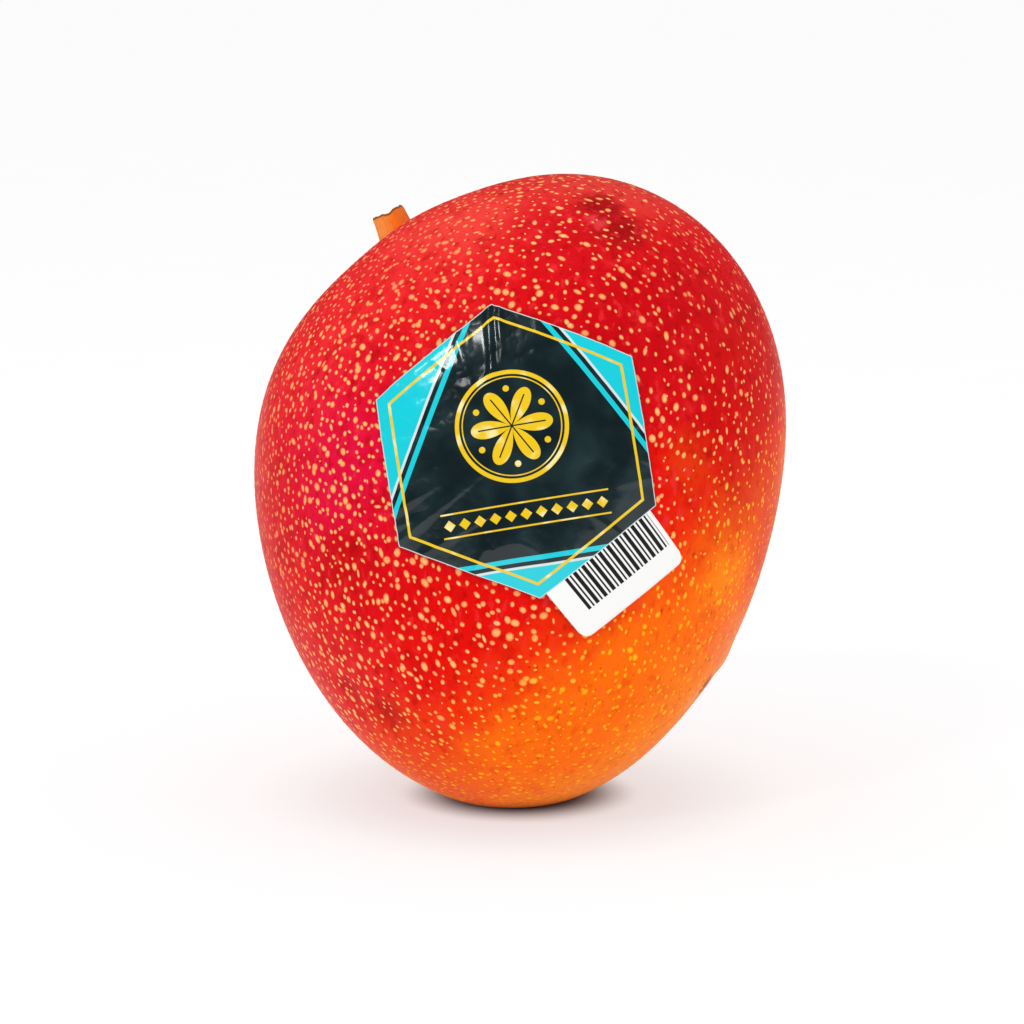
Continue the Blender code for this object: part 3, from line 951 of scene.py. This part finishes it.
edge = hexagon_edge()
shares = (1 - np.arange(RINGS) / RINGS) ** RING_CROWDING
flat_rings = shares[:, None, None] * edge[None]
flat_tab = tab_rows()
print("flat grid:", flat_rings.shape[:2], "and the tab:", flat_tab.shape[:2])


# %% [markdown]
# Laying it on: each flat point is drawn in a little, as a sheet bent over a dome covers less
# of the plan than it does when flat, and then dropped along the sticker's own normal until
# it meets the skin. Newton's step finds that height for all the points at once.

# %% Lay the sticker on the cheek
label_x = np.array([1.0, 0.0, 0.0])
label_y = np.array([0.0, math.sin(LABEL_TILT), math.cos(LABEL_TILT)])
label_out = np.array([0.0, -math.cos(LABEL_TILT), math.sin(LABEL_TILT)])
label_middle = MIDDLE + np.array([LABEL_OFFSET_X, 0.0, LABEL_OFFSET_Z])
NEWTON_STEPS = 12
SMALL_STEP = 1e-3


def lay_on(flat, lift):
    """Flat places of the sheet, one to a row, as points above the skin by this lift."""
    out = np.maximum(np.linalg.norm(flat, axis=1), 1e-9)
    drawn_in = flat * (CHEEK_CURVE * np.sin(out / CHEEK_CURVE) / out)[:, None]
    base = label_middle + drawn_in[:, :1] * label_x + drawn_in[:, 1:] * label_y
    rise = np.full(len(flat), LABEL_START)
    for _ in range(NEWTON_STEPS):
        points = base + rise[:, None] * label_out - MIDDLE
        rays = unit(points)
        reach = np.linalg.norm(skin(rays @ STANDING) - MIDDLE, axis=1)
        rise -= (np.linalg.norm(points, axis=1) - reach) / (rays @ label_out)
    points = base + rise[:, None] * label_out
    rays = unit(points - MIDDLE)
    here = skin(rays @ STANDING)
    side, up = (skin(unit(rays + SMALL_STEP * way) @ STANDING) - here for way in (label_x, label_y))
    normal = unit(np.cross(side, up))
    normal *= np.sign(normal @ label_out)[:, None]
    return points + normal * lift[:, None]


# %% The folds and wrinkles
CREASES = {
    # both ends in mm on the flat sheet, height and half-width in mm
    "fold from the top": (-5.6, 30.0, -4.6, 14.5, 0.5, 0.65),
    "fold's other lip": (-3.3, 30.0, -2.9, 17.0, 0.3, 0.55),
    "fold's end": (-4.6, 15.5, -8.0, 9.5, 0.3, 0.7),
    "left of the fold": (-12.5, 25.5, -8.5, 12.0, 0.26, 0.8),
    "under the upper left rim": (-24.0, 13.0, -12.0, 21.5, 0.3, 1.2),
    "swell on the upper left": (-20.0, 8.0, -12.0, 17.0, 0.22, 2.2),
    "low wrinkle": (-24.5, -19.0, -6.0, -4.3, 0.34, 0.8),
    "second low wrinkle": (-20.0, -21.5, -4.0, -12.0, 0.24, 0.7),
    "third low wrinkle": (-26.0, -13.0, -13.0, -5.5, 0.22, 0.8),
    "fourth low wrinkle": (-25.0, -15.5, -17.5, -12.5, 0.16, 0.5),
    "left edge pucker": (-28.5, 3.0, -20.0, 1.5, 0.2, 0.8),
    "bottom pucker": (-7.5, -27.5, -5.5, -17.0, 0.26, 0.8),
    "right pucker": (27.0, 7.0, 18.0, 4.5, 0.14, 1.0),
}
PUCKER_COUNT = 22
PUCKER_OUT = 27
PUCKER_SEED = 3
RELIEF_LIMIT_MM = 0.4
SWELL_MM = 0.04
INNER_END_LOWER = 0.6
draw = np.random.default_rng(PUCKER_SEED)
pucker_turn = np.arange(PUCKER_COUNT) + draw.uniform(-0.35, 0.35, PUCKER_COUNT)
pucker_turn = pucker_turn / PUCKER_COUNT * 2 * math.pi
pucker_end = pucker_turn + draw.normal(0, 0.12, PUCKER_COUNT)
pucker_in = draw.uniform(16, 22, PUCKER_COUNT)
PUCKERS = [
    (
        PUCKER_OUT * math.cos(a), PUCKER_OUT * math.sin(a),
        r * math.cos(b), r * math.sin(b), tall, half,
    )
    for a, b, r, tall, half in zip(
        pucker_turn, pucker_end, pucker_in,
        draw.uniform(0.05, 0.13, PUCKER_COUNT), draw.uniform(0.4, 0.8, PUCKER_COUNT),
    )
]


def relief(flat):
    """Height of the film in metres above where it lies: ridges along the creases.

    Each ridge falls off across the crease by a bell, and towards its inner end. A slow swell
    covers the rest, and the sum levels out softly below its limit.
    """
    mm = flat * 1000
    total = SWELL_MM * (1 + np.sin(mm[:, 0] * 0.45 + 1.1) * np.sin(mm[:, 1] * 0.38 + 0.4))
    for x0, y0, x1, y1, tall, half in [*CREASES.values(), *PUCKERS]:
        start, span = np.array([x0, y0]), np.array([x1 - x0, y1 - y0])
        along = (mm - start) @ span / (span @ span)
        nearest = start + np.clip(along, 0, 1)[:, None] * span
        apart = np.linalg.norm(mm - nearest, axis=1)
        total += tall * np.exp(-((apart / half) ** 2)) * (1 - INNER_END_LOWER * np.clip(along, 0, 1))
    return RELIEF_LIMIT_MM * np.tanh(total / RELIEF_LIMIT_MM) * 0.001


# %% Build the sticker
ring_count, around_count = flat_rings.shape[:2]
flat_all = np.concatenate([flat_rings.reshape(-1, 2), flat_tab.reshape(-1, 2), [[0.0, 0.0]]])
laid = lay_on(flat_all, FILM_GAP + relief(flat_all))
index = np.arange(ring_count * around_count).reshape(ring_count, around_count)
beside = np.roll(index, -1, axis=1)
hexagon_quads = np.stack([index[:-1], beside[:-1], beside[1:], index[1:]], axis=-1).reshape(-1, 4)
middle_point = len(flat_all) - 1
fan = np.stack([index[-1], beside[-1], np.full(around_count, middle_point)], axis=1)
side_start = 5 * (2 * STEPS_INSET + STEPS_TAB) + STEPS_INSET
root = index[0, side_start:side_start + STEPS_TAB + 1]
tab_index = ring_count * around_count + np.arange(flat_tab.shape[0] * flat_tab.shape[1])
tab_index = np.concatenate([root[None], tab_index.reshape(flat_tab.shape[:2])])
near_row, far_row = tab_index[:-1], tab_index[1:]
tab_quads = [near_row[:, :-1], far_row[:, :-1], far_row[:, 1:], near_row[:, 1:]]
tab_quads = np.stack(tab_quads, axis=-1).reshape(-1, 4)
laid = np.maximum(laid, box_low + np.array([0.0, FILM_THICKNESS, 0.0]))
label_mesh = new_mesh("sticker", laid, hexagon_quads, tab_quads, fan)
add_map(label_mesh, "flat", flat_all * MAP_PER_METRE)
sticker = new_piece("sticker", label_mesh, "label")
film = sticker.modifiers.new("film", "SOLIDIFY")
film.thickness = FILM_THICKNESS
film.offset = 1.0
faces_out = np.array(label_mesh.polygons[0].normal) @ label_out > 0
print("sticker:", len(label_mesh.polygons), "faces, first one faces out:", bool(faces_out))

# %% [markdown]
# ## The print on the sticker
# The film is near-black teal with a gold line inside its rim, turquoise facets in three of
# its corners, each edged in silver, and a gold emblem over a band of diamonds. All of it is
# worked out from the flat place of each point, which the sheet carries as its own map. A
# distance to the hexagon's sides gives the rim and the line.


# %% The hexagon distance group
def how_far(flat, angle):
    """How far a flat place lies towards this angle."""
    return vector("DOT_PRODUCT", flat, (math.cos(angle), math.sin(angle), 0))


gives = {"Distance": "Float"}
hexagon_tree, taken, given = new_group("hexagon_distance", {"Flat": "Vector"}, gives)
farthest = 0.0
for k in range(3):
    reach = how_far(taken["Flat"], LABEL_TURN + k * math.pi / 3)
    farthest = calc("MAXIMUM", farthest, calc("ABSOLUTE", reach))
feed(given["Distance"], farthest)
print("group:", hexagon_tree.name)

# %% Print the hexagon
foil_tree, foil_shader = new_finish("label_foil", sticker)
flat_mm = vector("SCALE", own_map(foil_tree, "flat"), scale=1000.0 / MAP_PER_METRE)
to_side = use_group(hexagon_tree, {"Flat": flat_mm})["Distance"]
EDGE_MM = APOTHEM * 1000
INK = paint(3, 25, 29)
TURQUOISE = paint(0, 204, 218)
SILVER = paint(214, 226, 226)
GOLD = paint(238, 198, 14)
PAINTED_GLINT_GOLD = paint(250, 234, 160)
SOFT_EDGE = 0.04
GOLD_LINE_IN, GOLD_LINE_HALF = 2.6, 0.27
SILVER_HALF = 0.25
STRIPE_IN, STRIPE_HALF = 1.6, 0.5


def inside(value, limit):
    """1 where the value is under the limit, with an edge a hair wide."""
    return fade(value, limit + SOFT_EDGE, limit - SOFT_EDGE)


def gap(value, at):
    """How far a value is from another, either way."""
    return calc("ABSOLUTE", calc("SUBTRACT", value, at))


def line(value, at, half):
    """1 within a half-width of a value."""
    return inside(gap(value, at), half)


film_grain = fine_grain(flat_mm, 1.2)
foil = mix(fade(film_grain["Clouds"], 0.35, 0.75), INK, paint(24, 48, 52))
FACETS = {
    # the corner that it sits in, and where its two edges lie in mm from the middle
    "left": (150.0, 19.5),
    "right": (30.0, 22.0),
    "bottom": (-90.0, 23.0),
}
for corner, starts in FACETS.values():
    out = how_far(flat_mm, LABEL_TURN + math.radians(corner))
    facet = inside(calc("MULTIPLY", out, -1.0), -starts)
    foil = mix(facet, foil, TURQUOISE)
    foil = mix(line(out, starts, SILVER_HALF), foil, SILVER)
    foil = mix(line(out, starts - STRIPE_IN, STRIPE_HALF), foil, TURQUOISE)
# Paler gold clouds over the gold print are painted glints.
glint = fine_grain(flat_mm, 0.7)
gold = mix(fade(glint["Clouds"], 0.52, 0.68), GOLD, PAINTED_GLINT_GOLD)
foil = mix(line(to_side, EDGE_MM - GOLD_LINE_IN, GOLD_LINE_HALF), foil, gold)
print("facets:", ", ".join(FACETS))

# %% The emblem of six leaves
turn_back = {"Vector": flat_mm, "Angle": -LABEL_TURN}
turned = fed_node("VectorRotate", turn_back, rotation_type="Z_AXIS").outputs[0]
x, y, _ = split(turned)
EMBLEM_Y = 4.6
EMBLEM_RING = 10.6
WIDE_RING_HALF, THIN_RING_HALF = 0.42, 0.12
LEAF_LENGTH = 8.0
LEAF_SWAY = math.pi / 3
RIB_LENGTH, RIB_HALF = 6.6, 0.14
BERRIES_OUT, BERRY_RADIUS = 7.4, 0.62
from_emblem = vector("DISTANCE", turned, (0.0, EMBLEM_Y, 0.0))
angle = calc("ARCTAN2", calc("SUBTRACT", y, EMBLEM_Y), x)
wave = calc("ABSOLUTE", calc("COSINE", calc("MULTIPLY", angle, 3.0)))
leaf = calc("MULTIPLY", calc("POWER", wave, 0.7), LEAF_LENGTH)
leaves = inside(calc("SUBTRACT", from_emblem, leaf), 0.0)
off_rib = calc("MULTIPLY", calc("PINGPONG", angle, LEAF_SWAY / 2), from_emblem)
rib = inside(off_rib, RIB_HALF)
ribs = calc("MULTIPLY", rib, inside(from_emblem, RIB_LENGTH))
leaves = calc("SUBTRACT", leaves, ribs, clamp=True)
gap_turn = calc("SUBTRACT", LEAF_SWAY / 2, calc("PINGPONG", angle, LEAF_SWAY / 2))
along_gap = calc("MULTIPLY", calc("SINE", gap_turn), from_emblem)
out_gap = calc("SUBTRACT", from_emblem, BERRIES_OUT)
berry = calc("MULTIPLY_ADD", out_gap, out_gap, calc("POWER", along_gap, 2.0))
berries = inside(calc("SQRT", berry), BERRY_RADIUS)
wide_ring = line(from_emblem, EMBLEM_RING, WIDE_RING_HALF)
thin_ring = line(from_emblem, EMBLEM_RING - 1.0, THIN_RING_HALF)
for shape in (leaves, berries, calc("MAXIMUM", wide_ring, thin_ring)):
    foil = mix(shape, foil, gold)
print("emblem across in mm:", 2 * EMBLEM_RING)

# %% The band of diamonds below it
BAND_Y = -12.6
BAND_HALF = 16.5
DIAMOND_STEP = 3.0
DIAMOND_HALF = 1.15
RULES_OUT, RULES_HALF = 2.3, 0.17
from_band = gap(y, BAND_Y)
off_diamond = calc("ADD", calc("PINGPONG", x, DIAMOND_STEP / 2), from_band)
diamonds = inside(off_diamond, DIAMOND_HALF)
rules = line(from_band, RULES_OUT, RULES_HALF)
band = calc("MAXIMUM", diamonds, rules)
band = calc("MULTIPLY", band, inside(calc("ABSOLUTE", x), BAND_HALF))
foil = mix(band, foil, gold)
print("diamonds in the band:", 2 * int(BAND_HALF / DIAMOND_STEP) + 1)

# %% The white tab with its stripes
PAPER = paint(246, 246, 244)
STRIPE_INK = paint(10, 10, 12)
CUT_RIM_MM = (0.22, 0.12)
tab_angle = LABEL_TURN - math.pi / 3
tab_out = how_far(flat_mm, tab_angle)
tab_across = how_far(flat_mm, tab_angle + math.pi / 2)
on_tab = fade(tab_out, EDGE_MM - SOFT_EDGE, EDGE_MM + SOFT_EDGE)
STRIPE_BEAT = 2.1
WIDE_BAR_HALF, THIN_BAR_HALF = 0.42, 0.19
STRIPES_MIDDLE, STRIPES_HALF, STRIPES_LONG = 1.8, 10.5, 7.9
in_beat = calc("PINGPONG", tab_across, STRIPE_BEAT / 2)
wide_bars = inside(in_beat, WIDE_BAR_HALF)
thin_bars = inside(calc("SUBTRACT", STRIPE_BEAT / 2, in_beat), THIN_BAR_HALF)
bars = calc("MAXIMUM", wide_bars, thin_bars)
bars = calc("MULTIPLY", bars, line(tab_across, STRIPES_MIDDLE, STRIPES_HALF))
bars = calc("MULTIPLY", bars, inside(tab_out, EDGE_MM + STRIPES_LONG))
paper = mix(bars, PAPER, STRIPE_INK)
rim = fade(to_side, EDGE_MM - CUT_RIM_MM[0], EDGE_MM - CUT_RIM_MM[1])
foil = mix(rim, foil, SILVER)
print_colour = mix(on_tab, foil, paper)
print("tab stripes every", STRIPE_BEAT, "mm")

# %% Gloss of the film
CRUMPLE_DEPTH = 0.0022
FOIL_COAT, TAB_COAT = 0.6, 0.05
FOIL_ROUGHNESS, TAB_ROUGHER = (0.16, 0.14), 0.3
FINE_CREASES_PER_MM, WIDE_CREASES_PER_MM, FINE_SHARE = 0.34, 0.13, 0.3
CALM_SHARE = 0.25
rough = calc("MULTIPLY_ADD", film_grain["Clouds"], *FOIL_ROUGHNESS)
rough = calc("MULTIPLY_ADD", on_tab, TAB_ROUGHER, rough)


def crease_lines(per_mm):
    """How far a noise is from its middle value: smooth facets that meet in sharp lines."""
    return gap(noise(flat_mm, per_mm, detail=1.0, roughness=0.4), 0.5)


wide_creases = crease_lines(WIDE_CREASES_PER_MM)
crumple = calc("MULTIPLY_ADD", crease_lines(FINE_CREASES_PER_MM), FINE_SHARE, wide_creases)
rumpled = soft_patch(flat_mm, (-16.0, 6.0, 0.0), 24.0, 0.8)
rumpled = calc("MULTIPLY_ADD", rumpled, 1 - CALM_SHARE, CALM_SHARE)
crumple = calc("MULTIPLY", crumple, rumpled)
crumple = calc("MULTIPLY", crumple, calc("SUBTRACT", 1.0, on_tab))
crumple = calc("MULTIPLY_ADD", film_grain["Height"], 0.008, crumple)
raise_by(foil_shader, crumple, 0.5, CRUMPLE_DEPTH)
coated = calc("MULTIPLY_ADD", on_tab, TAB_COAT - FOIL_COAT, FOIL_COAT)
film_look = {
    "Base Color": print_colour,
    "Roughness": rough,
    "Coat Weight": coated,
    "Coat Roughness": 0.09,
    "Specular IOR Level": 0.25,
}
feed_all(foil_shader, film_look)
print("film finish:", len(foil_tree.nodes), "nodes")

# %% [markdown]
# ## Floor and light
# A white sweep and soft light from all round, stronger from above. The sweep glows a little,
# which is painted light that keeps it white, and its glow fades out where the fruit stands,
# which paints the narrow, dark contact shadow. The world is bright for what it lights and
# dimmer for what mirrors it, as in a studio with dark cloths behind the lamps, which keeps
# the red of the skin deep.

# %% The floor
FLOOR_SIDE = 12.0
FLOOR_GLOW = 0.7
NEAR_GLOW = 0.86
NEAR_SHADE, FAR_SHADE = (0.0125, 0.026), (0.025, 0.06)
bpy.ops.mesh.primitive_plane_add(size=FLOOR_SIDE)
floor = bpy.context.object
floor.name = "floor"
floor_tree, floor_shader = new_finish("floor", floor)
floor_place = add_node(floor_tree, "TexCoord").outputs["Object"]
faint = noise(floor_place, 30.0)
floor_colour = mix(faint, paint(144, 144, 145), paint(147, 147, 147))
from_fruit = vector("LENGTH", floor_place)
# Painted shadow: close to the fruit the glow fades out, which paints its narrow contact shadow.
near = calc("MULTIPLY", fade(from_fruit, *NEAR_SHADE), NEAR_GLOW)
far = fade(from_fruit, *FAR_SHADE)
glow = calc("MULTIPLY_ADD", far, 1 - NEAR_GLOW, near)
glow = calc("MULTIPLY", glow, FLOOR_GLOW)
floor_look = {
    "Base Color": floor_colour,
    "Roughness": 0.9,
    "Specular IOR Level": 0.0,
    "Emission Color": (1.0, 1.0, 1.0, 1.0),
    "Emission Strength": glow,
}
feed_all(floor_shader, floor_look)
print("floor side in m:", FLOOR_SIDE)

# %% The world's light
SKY_STRENGTH = 0.95
DARK_CLOTH = (0.14, 0.14, 0.14, 1.0)
world = bpy.data.worlds.new("studio")
bpy.context.scene.world = world
world.use_nodes = True
sky = world.node_tree
background = sky.nodes["Background"]
path = add_node(sky, "LightPath")
shade = mix(path.outputs["Is Glossy Ray"], (1.0, 1.0, 1.0, 1.0), DARK_CLOTH)
feed(background.inputs["Color"], shade)
background.inputs["Strength"].default_value = SKY_STRENGTH


# %% The soft lamps
def softbox(name, place, width, power):
    """A square lamp at a place in metres that faces the fruit."""
    lamp = bpy.data.lights.new(name, "AREA")
    lamp.shape = "SQUARE"
    lamp.size = width
    lamp.energy = power
    holder = bpy.data.objects.new(name, lamp)
    bpy.context.scene.collection.objects.link(holder)
    holder.location = place
    facing = Vector(place) - Vector(MIDDLE)
    holder.rotation_euler = facing.to_track_quat("Z", "Y").to_euler()


softbox("lamp_top", (-0.2, -0.1, 1.0), 0.6, 1.0)
softbox("lamp_left", (-0.5, -0.69, 0.91), 0.15, 1.9)
softbox("lamp_right", (0.9, -0.4, 0.5), 0.3, 0.4)
bpy.context.scene.view_settings.view_transform = "Standard"
print("lamps: three soft boxes")
